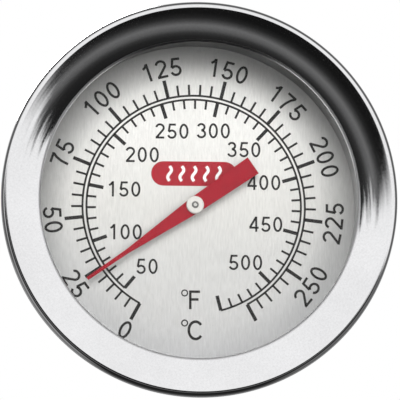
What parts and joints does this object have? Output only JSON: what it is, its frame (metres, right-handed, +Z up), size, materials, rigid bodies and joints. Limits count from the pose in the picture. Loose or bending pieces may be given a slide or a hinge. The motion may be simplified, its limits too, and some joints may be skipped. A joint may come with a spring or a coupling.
{
  "type": "oven thermometer",
  "caption": "Round dial thermometer with a bimetal stem: clear lens, red pointer, and a threaded shank with washer and wing nut that clamps it in an oven wall.",
  "frame": {"origin": "centre of the seat: the rear face of the hexagon, on the axis of the locating neck", "axes": "+Y along the stem, away from the dial; the dial faces -Y and its reading is upright with +Z up; +X is to the right of someone reading the dial"},
  "size_m": [0.06, 0.0882, 0.06],
  "materials": {
    "polished_steel": "mirror polished, spun stainless steel",
    "lens_glass": "clear flat glass",
    "silicone": "matt silicone",
    "spacer_steel": "fine turned grey",
    "dial_metal": "vertical brushed grain, printed scales",
    "drawn_steel": "plain drawn",
    "case_steel": "satin drawn stainless steel",
    "needle_red": "satin red paint",
    "hub_metal": "turned",
    "spindle_steel": "ground",
    "brass": "turned",
    "bimetal_strip": "rolled strip",
    "stem_steel": "ground and welded",
    "shank_steel": "turned and milled",
    "spring_steel": "blued",
    "zinc_steel": "bright zinc plate"
  },
  "bodies": {
    "stem": {"shank": "shank_steel", "stem_tube": "stem_steel", "tip_plug": "stem_steel", "coil_anchor": "brass", "bimetal_coil": "bimetal_strip", "upper_bush": "brass", "lower_bush": "brass", "disc_spring": "spring_steel", "retaining_ring": "spring_steel", "head_seal": "silicone"},
    "head": {"case_cup": "case_steel", "bezel": "polished_steel", "lens": "lens_glass", "lens_gasket": "silicone", "spacer_ring": "spacer_steel", "dial_plate": "dial_metal", "dial_support": "drawn_steel"},
    "needle": {"pointer": "needle_red", "pointer_hub": "hub_metal", "spindle": "spindle_steel", "coil_sleeve": "brass"},
    "washer": {"flat_washer": "zinc_steel"},
    "wing": {"wing_nut": "zinc_steel"}
  },
  "joints": [
    {"name": "needle_turn", "type": "hinge", "parent": "stem", "child": "needle", "pos_m": [0, 0, 0], "axis": [0, 1, 0], "range_deg": [-26.2, 276.3], "stiffness_Nm_per_rad": 0.0002},
    {"name": "head_swivel", "type": "hinge", "parent": "stem", "child": "head", "pos_m": [0, 0, 0], "axis": [0, 1, 0], "continuous": true},
    {"name": "nut_travel", "type": "slide", "parent": "stem", "child": "washer", "axis": [0, 1, 0], "range_m": [0, 0.0645]},
    {"name": "wing_spin", "type": "hinge", "parent": "washer", "child": "wing", "pos_m": [0, 0, 0], "axis": [0, 1, 0], "range_deg": [0, 15482]}
  ],
  "couplings": [
    {"joint": "wing_spin", "follows": "nut_travel", "rad_per_m": 4188.8}
  ]
}
